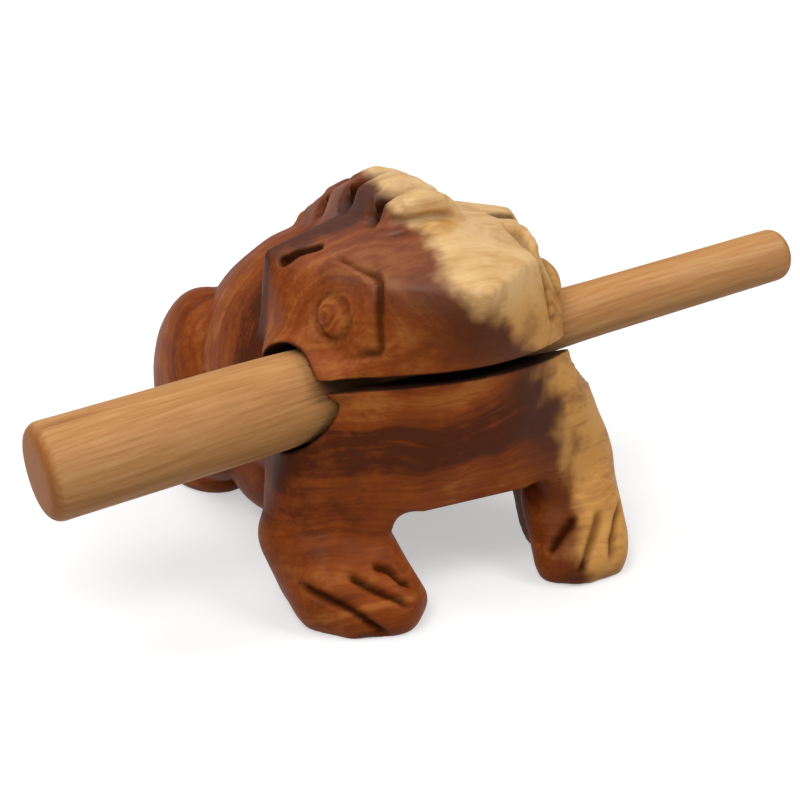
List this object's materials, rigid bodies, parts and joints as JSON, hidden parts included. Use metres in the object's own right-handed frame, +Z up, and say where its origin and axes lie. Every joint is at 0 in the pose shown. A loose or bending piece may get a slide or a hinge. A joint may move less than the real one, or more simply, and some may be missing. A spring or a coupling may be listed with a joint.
{
  "type": "frog guiro",
  "caption": "Carved wooden frog with a notched crest along its back, a cross bore behind a sawn mouth, and a tapered striker kept in the bore and drawn along the crest to croak.",
  "frame": {"origin": "on the floor under the middle of the object's bounding box", "axes": "+Z up, the frog faces -Y, +X along the cross bore towards the striker's thin end"},
  "size_m": [0.1522, 0.0887, 0.0703],
  "materials": {
    "carved_wood": "hand carved, waxed to a low sheen, red-brown heartwood with a pale sapwood side",
    "striker_wood": "turned and sanded, pale brown straight grain"
  },
  "bodies": {
    "frog": {"frog_body": "carved_wood"},
    "striker": {"striker": "striker_wood"}
  },
  "joints": [
    {"name": "striker_pull", "type": "slide", "parent": "frog", "child": "striker", "axis": [-0.9957, 0, -0.093], "range_m": [0, 0.095]}
  ]
}
